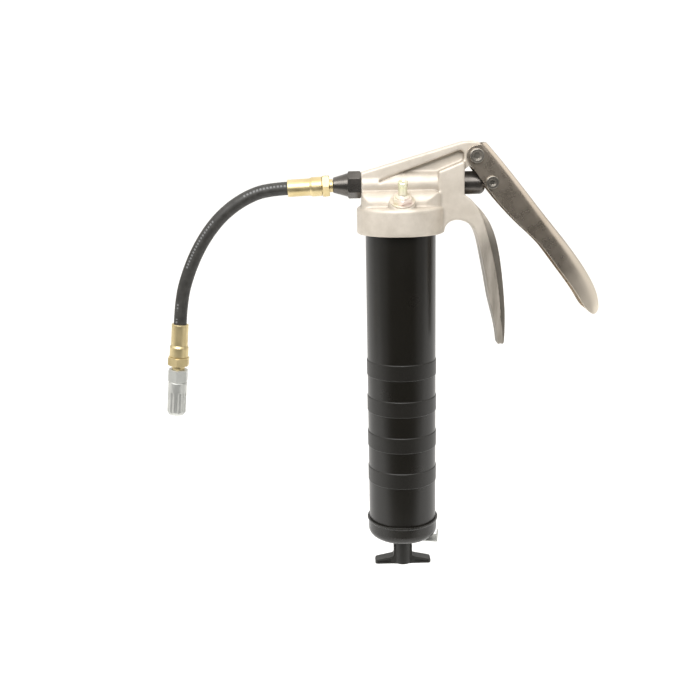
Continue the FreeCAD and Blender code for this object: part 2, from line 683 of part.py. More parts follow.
def build_hose():
    keep("hose", hose_tube())
    upper, lower = HOSE_ROUTE[0], HOSE_ROUTE[-1]
    upper_axis = unit(HOSE_ROUTE[1], upper)
    lower_axis = unit(HOSE_ROUTE[-2], lower)
    upper_at, lower_at = (upper[0], 0, upper[1]), (lower[0], 0, lower[1])
    keep("upper_ferrule", placed(ferrule(), upper_at, upper_axis))
    keep("upper_hose_nipple", placed(nipple(16.0, 27.8, 33.6, 36.2, 43.0, 4.2), upper_at, upper_axis))
    keep("lower_ferrule", placed(ferrule(), lower_at, lower_axis))
    keep("lower_hose_nipple", placed(nipple(16.4, 27.8, 35.0, 38.4, 46.0, 4.75), lower_at, lower_axis))


def build_coupler():
    start, split, end = COUPLER_START, COUPLER_SPLIT, COUPLER_END
    origin = (HOSE_ROUTE[-1][0], 0, HOSE_ROUTE[-1][1])
    axis = unit(HOSE_ROUTE[-2], HOSE_ROUTE[-1])
    body = rounded_hexagon(COUPLER_HEX_AF, split - start - 0.1, 30.0)
    body.translate(V(0, 0, start))
    body = body.fuse(rod_z(COUPLER_BORE_R - 0.1, split - 1.0, split + 6.0))
    body = body.cut(rod_z(4.8, start - 1, start + 8.0))
    body = body.cut(rod_z(1.5, start, split + 8.0))
    keep("coupler_body", placed(body, origin, axis))
    wall = COUPLER_SLEEVE_R
    sleeve = turned_profile([(COUPLER_BORE_R, split), (wall - 0.6, split), (wall, split + 0.8, 0.3),
                             (wall, end - 2.5, 1.0), (wall - 1.4, end, 0.5), (5.2, end), (5.2, end - 1.0),
                             (COUPLER_BORE_R, end - 5.0)])
    flute_x = wall + FLUTE_R - FLUTE_DEPTH
    flute = rod(FLUTE_R, (flute_x, 0, split + FLUTE_SETBACK), (flute_x, 0, end + 1))
    for step in range(FLUTES):
        cut = flute.copy()
        cut.rotate(V(0, 0, 0), V(0, 0, 1), 360.0 / FLUTES * (step + 0.5))
        sleeve = sleeve.cut(cut)
    keep("coupler_sleeve", placed(sleeve, origin, axis))
    jaw_start = end - 14.0
    ring = turned_profile([(COUPLER_MOUTH_R, jaw_start), (COUPLER_BORE_R - 0.15, jaw_start),
                           (COUPLER_BORE_R - 0.15, end - 5.2), (5.0, end - 1.0), (5.0, end - 0.4),
                           (COUPLER_MOUTH_R, end - 0.4)])
    for turn in (0, 90):
        slot = Part.makeBox(20, 0.7, 20, V(-10, -0.35, jaw_start - 1))
        slot.rotate(V(0, 0, 0), V(0, 0, 1), turn)
        ring = ring.cut(slot)
    keep("coupler_jaws", placed(Part.makeCompound(ring.Solids), origin, axis))
    seal = turned_profile([(1.4, jaw_start - 3.6), (5.6, jaw_start - 3.6), (5.6, jaw_start - 0.1),
                           (1.4, jaw_start - 0.1)])
    keep("coupler_seal", placed(seal, origin, axis))
    washer = turned_profile([(1.4, jaw_start - 4.7), (5.9, jaw_start - 4.7), (5.9, jaw_start - 3.6),
                             (1.4, jaw_start - 3.6)])
    keep("coupler_washer", placed(washer, origin, axis))
    spring_length = jaw_start - 4.7 - (split + 6.0)
    spring = coil(4.9, 0.2, spring_length, 2)
    spring.translate(V(0, 0, split + 6.0))
    keep("coupler_spring", placed(spring, origin, axis))


# ------------------------------------------------- barrel, cap, follower, rod

def build_barrel():
    shell = rod_z(BARREL_R, BARREL_BOTTOM, BARREL_TOP)
    for index in range(BAND_COUNT):
        top = BAND_TOP - index * BAND_PITCH
        bottom = top - BAND_HEIGHT
        proud = BARREL_R + BAND_RISE
        shell = shell.fuse(turned_profile([(0, bottom), (BARREL_R, bottom), (proud, bottom + 0.6, 0.4),
                                           (proud, top - 0.6, 0.4), (BARREL_R, top), (0, top)]))
    keep("barrel", shell.cut(rod_z(BARREL_R - BARREL_WALL, BARREL_BOTTOM - 1, BARREL_TOP + 1)))
    inner = CAP_R - CAP_SHEET
    floor = CAP_FLOOR
    cap = turned_profile([(inner, CAP_TOP), (CAP_LIP_R, CAP_TOP, 0.3), (CAP_LIP_R, CAP_TOP - 1.4, 0.4),
                          (CAP_R, CAP_TOP - 2.4, 0.6), (CAP_R, floor, CAP_CORNER), (0, floor),
                          (0, floor + CAP_SHEET), (inner, floor + CAP_SHEET, CAP_CORNER - CAP_SHEET)])
    keep("end_cap", cap.cut(rod_z(CAP_HOLE_R, floor - 1, floor + 3)))
    hole = ROD_R + RUNNING_GAP
    seat = floor - RUNNING_GAP
    bush = turned_profile([(hole, BUSH_FACE), (BUSH_FLANGE_R, BUSH_FACE), (BUSH_FLANGE_R, seat), (BUSH_R, seat),
                           (BUSH_R, floor + 6.0, 0.6), (hole, floor + 6.0)])
    keep("rod_bush", bush)


def build_follower():
    bore = BARREL_R - BARREL_WALL
    top = FOLLOWER_TOP
    hole = ROD_R + RUNNING_GAP
    cup = turned_profile([(hole, top - 6), (bore - 3.0, top - 6, 1.0), (bore - 0.3, top - 14.0, 0.3),
                          (bore - 1.4, top - 14.0), (bore - 4.5, top - 9.0, 1.0), (hole, top - 9.0)])
    lip = turned_profile([(bore - 5.2, top - 6.2), (bore - 0.3, top + 1.0, 0.3), (bore - 1.4, top + 1.0),
                          (bore - 6.1, top - 5.95)])
    keep("follower_cup", cup.fuse(lip).removeSplitter())
    plates = []
    for low in (top - 5.9, top - 10.3):
        plates.append(rod_z(SPRING_R + 0.9, low, low + 1.2).cut(rod_z(hole, low - 1, low + 2)))
    keep("follower_plates", Part.makeCompound(plates))
    spring_floor = CAP_FLOOR + CAP_SHEET + 0.1
    spring = coil(SPRING_R, SPRING_WIRE_R, top - 10.4 - spring_floor, SPRING_TURNS)
    spring.translate(V(0, 0, spring_floor))
    keep("follower_spring", spring)
    shaft = rod_z(ROD_R, ROD_BOTTOM, ROD_TOP)
    for groove in (top - 11.0, -240.0):
        ring = rod_z(ROD_R + 1, groove - 1.5, groove)
        shaft = shaft.cut(ring.cut(rod_z(ROD_R - 0.7, groove - 3, groove + 1)))
    keep("follower_rod", shaft)
    clip = rod_z(5.0, top - 12.2, top - 11.2).cut(rod_z(ROD_R - 0.65, -40, 20))
    keep("rod_clip", clip.cut(Part.makeBox(12, 4.0, 20, V(0, -2.0, -20))))
    nut = rounded_hexagon(11.0, 4.5)
    nut.translate(V(0, 0, top - 4.5))
    keep("rod_end_nut", nut.cut(rod_z(ROD_R, -20, 20)))


def wing_pocket(side, face):
    """A shallow pocket in one wing of the T-handle, in its front or its back face."""
    root, tip = side * (STEM_R + 2.5), side * (HANDLE_SPAN - 2.0)
    low = HANDLE_BOTTOM + WING_RISE + WING_POCKET_RIM
    outline = rounded_loop([(root, WING_ROOT - 2.0, 0.4), (tip, WING_TIP - WING_POCKET_RIM, 0.4),
                            (tip, low, 0.4), (root, low, 0.4)], side_plane)
    near, far = sorted((face * (HANDLE_HALF - WING_POCKET_DEPTH), face * (HANDLE_HALF + 1.0)))
    return side_slab(outline, near, far)


def build_handle():
    span, bottom, half = HANDLE_SPAN, HANDLE_BOTTOM, HANDLE_HALF
    wing_low = bottom + WING_RISE
    side = rounded_loop([(-STEM_R, STEM_TOP - 3.0), (-STEM_R, WING_ROOT, 2.5), (-span, WING_TIP, 1.6),
                         (-span, wing_low, 0.8), (-STEM_R, wing_low), (0, bottom), (STEM_R, wing_low),
                         (span, wing_low, 0.8), (span, WING_TIP, 1.6), (STEM_R, WING_ROOT, 2.5),
                         (STEM_R, STEM_TOP - 3.0)], side_plane)
    plan = rounded_loop([(-span, -half, WING_CORNER), (span, -half, WING_CORNER), (span, half, WING_CORNER),
                         (-span, half, WING_CORNER)], top_plane)
    column = Part.Face(plan).extrude(V(0, 0, STEM_TOP - bottom))
    column.translate(V(0, 0, bottom))
    wings = side_slab(side, -half, half).common(column)
    stem = turned_profile([(0, STEM_TOP), (STEM_R, STEM_TOP, 1.0), (STEM_R, wing_low, 0.8), (0, wing_low)])
    handle = wings.fuse(stem)
    handle = handle.cut([wing_pocket(side, face) for side in (-1, 1) for face in (-1, 1)])
    handle = handle.cut(rod_z(ROD_R, ROD_BOTTOM, 0))
    pin_hole = rod_x(HANDLE_PIN_R + RUNNING_GAP, -20, 20, HANDLE_PIN_Z)
    keep("t_handle", handle.cut(pin_hole))
    pin_half = STEM_R - 0.6
    keep("handle_pin", rod_x(HANDLE_PIN_R, -pin_half, pin_half, HANDLE_PIN_Z))
    nodes["follower_rod"] = nodes["follower_rod"].cut(pin_hole)


def build_lock_plate():
    top, rivet_x, hinge_x = PLATE_TOP, PLATE_RIVET, PLATE_HINGE
    underside = top - PLATE_T
    middle = top - PLATE_T / 2
    plate = Part.makeBox(PLATE_REACH - hinge_x, 2 * PLATE_HALF, PLATE_T, V(hinge_x, -PLATE_HALF, underside))
    plate = plate.fuse(Part.makeBox(PLATE_T, 2 * PLATE_HALF, PLATE_LIP,
                                    V(PLATE_REACH - PLATE_T, -PLATE_HALF, underside)))
    plate = plate.makeFillet(1.0, edges_through(plate, [(PLATE_REACH, 0, underside)]))
    plate = plate.fuse(rod(PLATE_HEM_R, (hinge_x, -PLATE_HALF, middle), (hinge_x, PLATE_HALF, middle)))
    plate = plate.cut(rod_z(ROD_R + 0.5, underside - 1, top + 1))
    plate = plate.cut(rod(RIVET_R + 0.25, (rivet_x, 0, underside - 1), (rivet_x, 0, top + 1)))
    plate.rotate(V(hinge_x, 0, middle), V(0, 1, 0), PLATE_TILT)
    inside = CAP_FLOOR + CAP_SHEET
    rivet = rod(RIVET_R, (rivet_x, 0, underside - 0.5), (rivet_x, 0, inside + 0.8))
    rivet = rivet.fuse([rod(3.6, (rivet_x, 0, underside - 1.5), (rivet_x, 0, underside - 0.5)),
                        rod(3.2, (rivet_x, 0, top + 0.4), (rivet_x, 0, CAP_FLOOR)),
                        rod(3.4, (rivet_x, 0, inside), (rivet_x, 0, inside + 0.8))])
    hole = rod(RIVET_R, (rivet_x, 0, CAP_FLOOR - 1), (rivet_x, 0, inside + 1))
    for shape in (plate, rivet, hole):
        shape.rotate(V(0, 0, 0), V(0, 0, 1), PLATE_ANGLE)
    nodes["end_cap"] = nodes["end_cap"].cut(hole)
    keep("rod_lock_plate", plate)
    keep("lock_plate_rivet", rivet)
    slope = math.tan(math.radians(PLATE_TILT))
    at_rod = top + slope * hinge_x
    touching = LOCK_SPRING_R * slope + 0.1
    length = BUSH_FACE - at_rod - touching
    spring = coil(LOCK_SPRING_R, 0.25, length, 1.5)
    spring.translate(V(0, 0, BUSH_FACE - length))
    keep("lock_plate_spring", spring)


def save_all():
    os.makedirs("parts", exist_ok=True)
    for name, shape in sorted(nodes.items()):
        print(name, "solids", len(shape.Solids), "volume", round(shape.Volume), "valid", shape.isValid())
        shape.exportStep("parts/" + name + ".step")


build_head()
build_pump()
build_outlet()
build_filler()
build_lever()
build_hose()
build_coupler()
build_barrel()
build_follower()
build_handle()
build_lock_plate()
save_all()
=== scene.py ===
import bpy
import bmesh
import json
import math
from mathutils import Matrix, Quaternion, Vector


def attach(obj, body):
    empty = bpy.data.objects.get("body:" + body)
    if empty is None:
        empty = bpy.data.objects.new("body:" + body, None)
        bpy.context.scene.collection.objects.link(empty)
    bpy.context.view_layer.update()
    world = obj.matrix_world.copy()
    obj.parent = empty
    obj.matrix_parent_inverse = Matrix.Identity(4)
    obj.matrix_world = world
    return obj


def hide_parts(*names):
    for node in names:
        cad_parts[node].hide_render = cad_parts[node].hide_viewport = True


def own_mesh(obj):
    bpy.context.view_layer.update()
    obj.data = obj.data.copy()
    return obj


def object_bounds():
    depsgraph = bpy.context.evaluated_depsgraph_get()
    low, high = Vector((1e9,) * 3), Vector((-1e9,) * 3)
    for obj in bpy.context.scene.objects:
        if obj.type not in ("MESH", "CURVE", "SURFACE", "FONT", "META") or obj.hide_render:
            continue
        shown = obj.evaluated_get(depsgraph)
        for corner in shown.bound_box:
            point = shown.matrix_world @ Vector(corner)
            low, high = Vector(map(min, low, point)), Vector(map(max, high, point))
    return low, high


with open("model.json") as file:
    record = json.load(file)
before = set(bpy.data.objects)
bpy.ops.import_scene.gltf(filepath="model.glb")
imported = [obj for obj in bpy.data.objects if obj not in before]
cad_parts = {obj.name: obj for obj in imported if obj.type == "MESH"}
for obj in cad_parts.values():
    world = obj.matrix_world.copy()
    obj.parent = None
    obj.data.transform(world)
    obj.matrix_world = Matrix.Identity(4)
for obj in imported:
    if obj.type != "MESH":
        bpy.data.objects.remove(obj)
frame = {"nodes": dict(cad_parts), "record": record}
cad_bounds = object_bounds()

# Lengths are in metres and angles in degrees, except where a comment says mm
MM = 0.001

# Camera: a little above the head, looking slightly down, with its lens and sensor in mm
CAMERA_AT = (-0.0500, -0.7961, 0.0918)
CAMERA_SENSOR = 36.0
CAMERA_LENS = 50.4
CAMERA_YAW = 0.51
CAMERA_PITCH = 13.34
CAMERA_ROLL = 1.09
CAMERA_CLIP = 0.01

# Stage: the floor lies well below the object, so that the rod has room to come out
FLOOR_DROP = 0.22
FLOOR_COLOUR = (0.94, 0.94, 0.935, 1.0)
FLOOR_FRONT = -0.45
FLOOR_BACK = 14.0
FLOOR_HALF_WIDTH = 9.0

# One softbox in front
SOFTBOX_AT = (-0.3, -1.4, 1.05)
SOFTBOX_TOWARDS = (0.0, 0.0, -0.05)
SOFTBOX_SIZE = (2.0, 1.1)
SOFTBOX_POWER = 44.0

# Room: a ramp runs between two values of a direction's component, and then between two strengths
ROOM_TINT = (1.0, 0.985, 0.96, 1.0)
ROOM_FRONT_TO_BACK = (-0.74, -0.56, 0.05, 0.48)
ROOM_LOW_TO_HIGH = (0.20, 0.48, 1.0, 3.0)
BACKDROP_STRENGTH = 1.1

# Materials: the part of a noise that a change is spread over, bevel widths and grain depths
NARROW_SPAN = (0.35, 0.65)
WIDE_SPAN = (0.3, 0.7)
BEVEL_SAMPLES = 6
METAL_EDGE = 0.4 * MM
METAL_GRAIN = 0.02 * MM
PLASTIC_EDGE = 0.5 * MM
PLASTIC_GRAIN = 0.06 * MM
CAST_EDGE = 1.0 * MM
SAND_GRAIN = 0.05 * MM
CAST_RIPPLE = 0.12 * MM
ENAMEL_GRAIN = 0.05 * MM
RUBBER_GRAIN = 0.08 * MM
CREASE_ANGLE = 32.0

# Where the lever's tip takes a painted reflection, and where the fixed grip's rib and shell take painted
# shade: each fades in from the first value to the second
LEVER_TIP_X = (0.128, 0.160)
RIB_EDGE_Y = (0.0042, 0.0034)
GRIP_START_X = (0.060, 0.066)
GRIP_START_Z = (0.012, -0.012)

# How metallic: the lever from plate to tip, and the casting from skin to rib
LEVER_METALLIC = (0.94, 0.70)
CAST_METALLIC = (0.45, 0.85)

# Hose, as in the CAD model: its route is a list of X and Z in mm, at Y = 0
HOSE_DIAMETER = 10.7 * MM
HOSE_ROUTE = [
    (-90.4, 37.4),
    (-107.0, 36.7),
    (-123.0, 31.3),
    (-139.0, 21.3),
    (-152.5, 8.0),
    (-164.5, -9.5),
    (-174.0, -29.5),
    (-180.9, -51.0),
    (-183.0, -71.9),
]
HOSE_STEPS = 24
HOSE_BEVEL_STEPS = 10

# Dashes on the hose: how many to a radian about the middle of its bend, and the share of each that is filled.
# Their lane is where the cosine between the surface's normal and the way out from that middle has one value.
HOSE_BEND_CENTRE = (-0.085, 0.0, -0.060)
DASHES_PER_RADIAN = 36.0
DASH_SHARE = 0.55
GROUPS_PER_RADIAN = 1.3
GROUP_SHARE = 0.6
DASH_LANE = 0.5
DASH_LANE_EDGE = (0.16, 0.10)

# Head casting's skin
HEAD_VOXEL = 0.7 * MM
HEAD_SMOOTHING = 10
HEAD_SMOOTHING_FACTOR = 0.5

# Pocket in the head that the plunger's cap slides into: its middle and radius are the CAD model's, and its
# stretch along X is the part that is moved out again
PUMP_Z = 39.2 * MM
POCKET_X = (39.2 * MM, 50.6 * MM)
POCKET_R = 9.3 * MM
POCKET_SHRINKAGE = 1.0 * MM
POCKET_CLEAR = 0.25 * MM

# Springs, each with the joint that presses it
SPRINGS = {
    "plunger_return_spring": "plunger_slide",
    "outlet_check_spring": "outlet_ball_lift",
    "filler_nipple_spring": "filler_ball_press",
    "coupler_spring": "jaw_slide",
    "follower_spring": "rod_pull",
    "lock_plate_spring": "lock_plate_tilt",
}

# Barrel bands, as in the CAD model
BAND_TOP = -0.1044
BAND_PITCH = 0.031
BAND_HEIGHT = 0.0136
BAND_COUNT = 4


# ------------------------------------------------------------------ materials

class Shader:
    """A material's node tree, with short calls for the nodes that the finishes share."""

    def __init__(self, name):
        self.material = bpy.data.materials.new(name)
        self.material.use_nodes = True
        self.tree = self.material.node_tree
        self.bsdf = self.tree.nodes["Principled BSDF"]
        self.place = self.node("ShaderNodeTexCoord").outputs["Object"]

    def node(self, kind, **settings):
        made = self.tree.nodes.new(kind)
        for key, value in settings.items():
            setattr(made, key, value)
        return made

    def link(self, source, target):
        self.tree.links.new(source, target)

    def set(self, **values):
        for key, value in values.items():
            self.bsdf.inputs[key.replace("_", " ")].default_value = value

    def noise(self, scale, detail, rough=0.5, stretch=None):
        texture = self.node("ShaderNodeTexNoise")
        texture.inputs["Scale"].default_value = scale
        texture.inputs["Detail"].default_value = detail
        texture.inputs["Roughness"].default_value = rough
        source = self.place
        if stretch:
            mapping = self.node("ShaderNodeMapping")
            mapping.inputs["Scale"].default_value = stretch
            self.link(source, mapping.inputs["Vector"])
            source = mapping.outputs["Vector"]
        self.link(source, texture.inputs["Vector"])
        return texture.outputs["Fac"]

    def remap(self, value, low, high, to_low=0.0, to_high=1.0):
        node = self.node("ShaderNodeMapRange")
        for key, number in zip(("From Min", "From Max", "To Min", "To Max"), (low, high, to_low, to_high)):
            node.inputs[key].default_value = number
        self.link(value, node.inputs["Value"])
        return node.outputs["Result"]

    def math(self, operation, first, second=0.0):
        node = self.node("ShaderNodeMath", operation=operation)
        for slot, value in zip(node.inputs, (first, second)):
            if isinstance(value, (int, float)):
                slot.default_value = value
            else:
                self.link(value, slot)
        return node.outputs[0]

    def vector(self, operation, first, second=(0.0, 0.0, 0.0)):
        node = self.node("ShaderNodeVectorMath", operation=operation)
        for slot, value in zip(node.inputs, (first, second)):
            if isinstance(value, tuple):
                slot.default_value = value
            else:
                self.link(value, slot)
        return node.outputs["Value" if operation == "DOT_PRODUCT" else "Vector"]

    def axes(self, source):
        split = self.node("ShaderNodeSeparateXYZ")
        self.link(source, split.inputs["Vector"])
        return split.outputs["X"], split.outputs["Y"], split.outputs["Z"]

    def blend(self, factor, first, second):
        node = self.node("ShaderNodeMix", data_type="RGBA")
        self.link(factor, node.inputs["Factor"])
        for slot, value in ((node.inputs["A"], first), (node.inputs["B"], second)):
            if isinstance(value, tuple):
                slot.default_value = (*value, 1.0)
            else:
                self.link(value, slot)
        return node.outputs["Result"]

    def colour(self, source):
        self.link(source, self.bsdf.inputs["Base Color"])

    def roughness(self, source):
        self.link(source, self.bsdf.inputs["Roughness"])

    def bump(self, height, strength, distance, under=None):
        node = self.node("ShaderNodeBump")
        node.inputs["Strength"].default_value = strength
        node.inputs["Distance"].default_value = distance
        self.link(height, node.inputs["Height"])
        if under is not None:
            self.link(under, node.inputs["Normal"])
        self.link(node.outputs["Normal"], self.bsdf.inputs["Normal"])
        return node.outputs["Normal"]

    def part_of_turn(self, turn, per_radian, share):
        """1 on the first share of each repeat of an angle, and 0 on the rest."""
        phase = self.math("FRACT", self.math("MULTIPLY", turn, per_radian))
        return self.math("LESS_THAN", phase, share)

    # Pointiness remapped between two values: it marks worn edges, and hollows for painted shade
    def wear_and_shade_mask(self, low, high):
        return self.remap(self.node("ShaderNodeNewGeometry").outputs["Pointiness"], low, high)


def bevelled(shader, radius):
    """A normal that rounds hard edges by a radius."""
    node = shader.node("ShaderNodeBevel", samples=BEVEL_SAMPLES)
    node.inputs["Radius"].default_value = radius
    return node.outputs["Normal"]


def metal(name, dark, light, rough_low, rough_high, metallic=1.0):
    """Plated, turned or pressed metal: cloudy tone, uneven roughness, fine grain, softened edges."""
    shader = Shader(name)
    shader.set(Metallic=metallic)
    cloud = shader.remap(shader.noise(60.0, 4.0), *NARROW_SPAN)
    shader.colour(shader.blend(cloud, dark, light))
    shader.roughness(shader.remap(shader.noise(140.0, 5.0), *WIDE_SPAN, rough_low, rough_high))
    shader.bump(shader.noise(900.0, 3.0, 0.6), 0.6, METAL_GRAIN, bevelled(shader, METAL_EDGE))
    return shader.material


def pressed_plate():
    """Nickel-plated pressed sheet: slightly brown, with a fine grain, and toward its tip a painted reflection
    in a lighter cream, less metallic and duller.
    """
    shader = Shader("plated_steel")
    cloud = shader.remap(shader.noise(45.0, 5.0, 0.6), *WIDE_SPAN)
    plate = shader.blend(cloud, (0.52, 0.445, 0.36), (0.62, 0.54, 0.45))
    # Painted reflection: the curved tip turns a lighter cream (0.80, 0.72, 0.60), standing in for the light
    # it catches; it is also made less metallic and rougher
    tip_sheen = shader.remap(shader.axes(shader.place)[0], *LEVER_TIP_X)
    shader.colour(shader.blend(tip_sheen, plate, (0.80, 0.72, 0.60)))
    shader.link(shader.remap(tip_sheen, 0.0, 1.0, *LEVER_METALLIC), shader.bsdf.inputs["Metallic"])
    uneven = shader.remap(shader.noise(90.0, 3.0), *WIDE_SPAN, 0.25, 0.31)
    shader.roughness(shader.math("ADD", uneven, shader.math("MULTIPLY", tip_sheen, 0.18)))
    shader.bump(shader.noise(900.0, 2.0), 0.2, METAL_GRAIN, bevelled(shader, METAL_EDGE))
    return shader.material


def cast_aluminium():
    """Tumbled die casting: warm grey, sandy grain, with painted shade in the hollows, on the grip's shell and
    on the grip's rib.
    """
    shader = Shader("cast_aluminium")
    cloud = shader.remap(shader.noise(70.0, 6.0, 0.65), *NARROW_SPAN)
    base = shader.blend(cloud, (0.55, 0.495, 0.42), (0.65, 0.59, 0.51))
    # Painted shade: hollows, found by low pointiness, are darkened toward (0.28, 0.245, 0.205)
    hollow_shade = shader.wear_and_shade_mask(0.42, 0.50)
    shaded = shader.blend(hollow_shade, (0.28, 0.245, 0.205), base)
    worn = shader.blend(shader.wear_and_shade_mask(0.53, 0.60), shaded, (0.88, 0.83, 0.76))
    x, y, z = shader.axes(shader.place)
    # Painted shade: the grip's rib, set back behind the near wall, is darkened to (0.22, 0.20, 0.17) and made
    # more metallic so that it reflects the dark front
    on_rib = shader.remap(shader.math("ABSOLUTE", y), *RIB_EDGE_Y)
    grip_shade_mask = shader.math("MULTIPLY", shader.remap(x, *GRIP_START_X), shader.remap(z, *GRIP_START_Z))
    rib_shade = shader.math("MULTIPLY", on_rib, grip_shade_mask)
    # Painted shade: the grip's shell, which lies in shade, is darkened to between (0.27, 0.243, 0.205) and
    # (0.40, 0.36, 0.31), with streaks of random tone
    streak = shader.remap(shader.noise(260.0, 3.0, 0.5, (1.0, 1.0, 0.15)), *NARROW_SPAN)
    with_grip_shade = shader.blend(grip_shade_mask, worn, shader.blend(streak, (0.27, 0.243, 0.205), (0.40, 0.36, 0.31)))
    shader.colour(shader.blend(rib_shade, with_grip_shade, (0.22, 0.20, 0.17)))
    shader.link(shader.remap(rib_shade, 0.0, 1.0, *CAST_METALLIC), shader.bsdf.inputs["Metallic"])
    shader.roughness(shader.remap(shader.noise(220.0, 4.0), *WIDE_SPAN, 0.47, 0.58))
    sand = shader.bump(shader.noise(2200.0, 2.0, 0.7), 0.4, SAND_GRAIN, bevelled(shader, CAST_EDGE))
    shader.bump(shader.noise(260.0, 3.0), 0.3, CAST_RIPPLE, sand)
    return shader.material


def barrel_enamel():
    """Smooth black enamel, with duller, finely textured paint on the raised grip bands."""
    shader = Shader("black_enamel")
    shader.set(Specular_IOR_Level=0.43)
    below = shader.math("SUBTRACT", BAND_TOP, shader.axes(shader.place)[2])
    phase = shader.math("MODULO", below, BAND_PITCH)
    inside = shader.math("LESS_THAN", phase, BAND_HEIGHT)
    started = shader.math("GREATER_THAN", below, 0.0)
    ended = shader.math("LESS_THAN", below, BAND_COUNT * BAND_PITCH)
    band = shader.math("MULTIPLY", shader.math("MULTIPLY", inside, started), ended)
    mottle = shader.remap(shader.noise(30.0, 4.0), *WIDE_SPAN)
    shader.colour(shader.blend(mottle, (0.0060, 0.0052, 0.0036), (0.0078, 0.0068, 0.0050)))
    gloss = shader.remap(shader.noise(18.0, 2.0), *WIDE_SPAN, 0.27, 0.31)
    shader.roughness(shader.math("ADD", gloss, shader.math("MULTIPLY", band, 0.12)))
    grain = shader.math("MULTIPLY", shader.noise(1500.0, 2.0), shader.math("ADD", band, 0.05))
    shader.bump(grain, 0.4, ENAMEL_GRAIN)
    return shader.material


def hose_rubber():
    """Matte black hose cover with a line of plain dashes along the outer side of its bend."""
    shader = Shader("hose_rubber")
    cloud = shader.remap(shader.noise(200.0, 4.0), *NARROW_SPAN)
    rubber = shader.blend(cloud, (0.022, 0.0208, 0.0182), (0.036, 0.034, 0.030))
    outward = shader.vector("SUBTRACT", shader.place, HOSE_BEND_CENTRE)
    across, _, up = shader.axes(outward)
    normal = shader.node("ShaderNodeTexCoord").outputs["Normal"]
    facing = shader.vector("DOT_PRODUCT", shader.vector("NORMALIZE", outward), normal)
    off_lane = shader.math("ABSOLUTE", shader.math("SUBTRACT", facing, DASH_LANE))
    lane = shader.remap(off_lane, *DASH_LANE_EDGE)
    turn = shader.math("ARCTAN2", up, across)
    dash = shader.part_of_turn(turn, DASHES_PER_RADIAN, DASH_SHARE)
    group = shader.part_of_turn(turn, GROUPS_PER_RADIAN, GROUP_SHARE)
    in_front = shader.math("LESS_THAN", shader.axes(normal)[1], 0.0)
    dashes = shader.math("MULTIPLY", lane, dash)
    mark = shader.math("MULTIPLY", dashes, shader.math("MULTIPLY", group, in_front))
    shader.colour(shader.blend(mark, rubber, (0.16, 0.16, 0.16)))
    shader.roughness(shader.remap(shader.noise(300.0, 3.0), *WIDE_SPAN, 0.42, 0.6))
    shader.bump(shader.noise(1500.0, 2.0), 0.4, RUBBER_GRAIN)
    return shader.material


def plastic(name, dark, light, rough_low, rough_high):
    """Moulded or painted surface: nearly even tone, uneven roughness, fine grain, softened edges."""
    shader = Shader(name)
    shader.set(Specular_IOR_Level=0.4)
    cloud = shader.remap(shader.noise(80.0, 4.0), *NARROW_SPAN)
    shader.colour(shader.blend(cloud, dark, light))
    shader.roughness(shader.remap(shader.noise(160.0, 3.0), *WIDE_SPAN, rough_low, rough_high))
    shader.bump(shader.noise(1400.0, 2.0), 0.4, PLASTIC_GRAIN, bevelled(shader, PLASTIC_EDGE))
    return shader.material


def finishes():
    """One material for each slot of the record."""
    return {
        "cast_aluminium": cast_aluminium(),
        "black_enamel": barrel_enamel(),
        "blackened_steel": metal("blackened_steel", (0.080, 0.073, 0.065), (0.12, 0.11, 0.10),
                                 0.24, 0.34, metallic=0.8),
        "dark_cap_steel": plastic("dark_cap_steel", (0.0075, 0.0067, 0.0050), (0.012, 0.0108, 0.0084),
                                  0.24, 0.32),
        "plated_steel": pressed_plate(),
        "zinc_steel": metal("zinc_steel", (0.46, 0.465, 0.44), (0.56, 0.565, 0.535),
                            0.36, 0.48, metallic=0.75),
        "yellow_zinc": metal("yellow_zinc", (0.66, 0.66, 0.46), (0.76, 0.66, 0.60),
                             0.30, 0.42, metallic=0.8),
        "brass": metal("brass", (0.55, 0.44, 0.22), (0.68, 0.56, 0.31), 0.34, 0.44, metallic=0.85),
        "hose_rubber": hose_rubber(),
        "seal_rubber": plastic("seal_rubber", (0.015, 0.015, 0.015), (0.025, 0.025, 0.025), 0.45, 0.6),
        "fastener_steel": metal("fastener_steel", (0.20, 0.185, 0.16), (0.30, 0.275, 0.24),
                                0.24, 0.34, metallic=0.85),
        "ground_steel": metal("ground_steel", (0.58, 0.58, 0.59), (0.68, 0.68, 0.69), 0.14, 0.24),
        "spring_steel": metal("spring_steel", (0.38, 0.38, 0.39), (0.50, 0.50, 0.51), 0.22, 0.35),
        "black_plastic": plastic("black_plastic", (0.008, 0.0076, 0.0058), (0.013, 0.0122, 0.0095),
                                 0.32, 0.44),
        "nylon": plastic("nylon", (0.70, 0.68, 0.62), (0.78, 0.76, 0.70), 0.40, 0.52),
    }


def paint_cad_nodes(materials):
    """Give every CAD node the material of its slot."""
    for part in frame["record"]["subparts"]:
        node = frame["nodes"][part["node"]]
        node.data.materials.clear()
        node.data.materials.append(materials[part["material_slot"]])
        smooth_by_angle(node)


def smooth_by_angle(obj):
    """Smooth shading, with edges sharper than the crease angle kept crisp."""
    mesh = obj.data
    limit = math.radians(CREASE_ANGLE)
    work = bmesh.new()
    work.from_mesh(mesh)
    sharp = [not edge.is_manifold or edge.calc_face_angle(0.0) > limit for edge in work.edges]
    work.free()
    mesh.shade_smooth()
    for edge, crisp in zip(mesh.edges, sharp):
        edge.use_edge_sharp = crisp


# ------------------------------------------------------------- head casting

